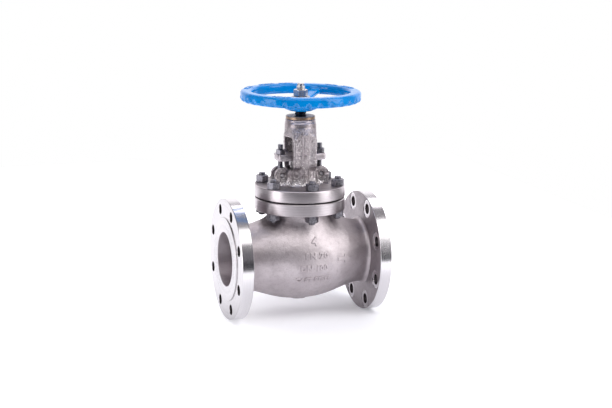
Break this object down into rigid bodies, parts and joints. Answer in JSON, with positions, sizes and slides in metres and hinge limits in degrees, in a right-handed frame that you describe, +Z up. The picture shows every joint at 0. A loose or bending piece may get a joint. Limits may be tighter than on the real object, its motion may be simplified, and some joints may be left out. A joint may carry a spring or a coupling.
{
  "type": "globe valve",
  "caption": "Flanged straight globe valve with an outside screw and yoke, a bolted bonnet, an eyebolt gland and a rising handwheel.",
  "frame": {"origin": "centre of the inlet flange's raised face, on the flow axis", "axes": "+X along the flow, from the inlet face to the outlet face; +Z up along the stem to the handwheel; +Y to the back"},
  "size_m": [0.2921, 0.2286, 0.4403],
  "materials": {
    "cast_steel": "blasted and pickled stainless casting with machined flanges",
    "machined_steel": "turned",
    "forged_steel": "satin",
    "fastener_steel": "dull",
    "bronze": "turned, slightly tarnished",
    "graphite": "matte",
    "blue_paint": "glossy paint over a casting"
  },
  "bodies": {
    "valve": {"valve_body": "cast_steel", "bonnet": "cast_steel", "seat_ring": "machined_steel", "backseat_bushing": "machined_steel", "bonnet_studs": "fastener_steel", "bonnet_nuts_upper": "fastener_steel", "bonnet_nuts_lower": "fastener_steel", "eyebolt_left": "fastener_steel", "eyebolt_right": "fastener_steel", "eyebolt_pin_left": "fastener_steel", "eyebolt_pin_right": "fastener_steel", "yoke_nut_set_screw": "fastener_steel", "yoke_nut": "bronze", "bonnet_gasket": "graphite", "packing_rings": "graphite"},
    "gland": {"gland_flange": "forged_steel", "gland_follower": "machined_steel"},
    "left_nut": {"gland_nut_left": "fastener_steel"},
    "right_nut": {"gland_nut_right": "fastener_steel"},
    "plug": {"disc": "machined_steel", "disc_nut": "machined_steel", "thrust_plate": "machined_steel"},
    "stem_and_wheel": {"stem": "machined_steel", "handwheel": "blue_paint", "handwheel_washer": "machined_steel", "handwheel_nut": "fastener_steel"}
  },
  "joints": [
    {"name": "disc_lift", "type": "slide", "parent": "valve", "child": "plug", "axis": [0, 0, 1], "range_m": [0, 0.03]},
    {"name": "handwheel_turn", "type": "hinge", "parent": "plug", "child": "stem_and_wheel", "pos_m": [0.14605, 0, 0.3], "axis": [0, 0, 1], "range_deg": [0, 2160]},
    {"name": "gland_travel", "type": "slide", "parent": "valve", "child": "gland", "axis": [0, 0, -1], "range_m": [0, 0.006], "deforming": ["packing_rings"]},
    {"name": "left_nut_turn", "type": "hinge", "parent": "gland", "child": "left_nut", "pos_m": [0.10755, 0, 0.199], "axis": [0, 0, -1], "range_deg": [0, 1440]},
    {"name": "right_nut_turn", "type": "hinge", "parent": "gland", "child": "right_nut", "pos_m": [0.18455, 0, 0.199], "axis": [0, 0, -1], "range_deg": [0, 1440]}
  ],
  "couplings": [
    {"joint": "disc_lift", "follows": "handwheel_turn", "m_per_rad": 0.00079577},
    {"joint": "left_nut_turn", "follows": "gland_travel", "rad_per_m": 4188.8},
    {"joint": "right_nut_turn", "follows": "gland_travel", "rad_per_m": 4188.8}
  ]
}
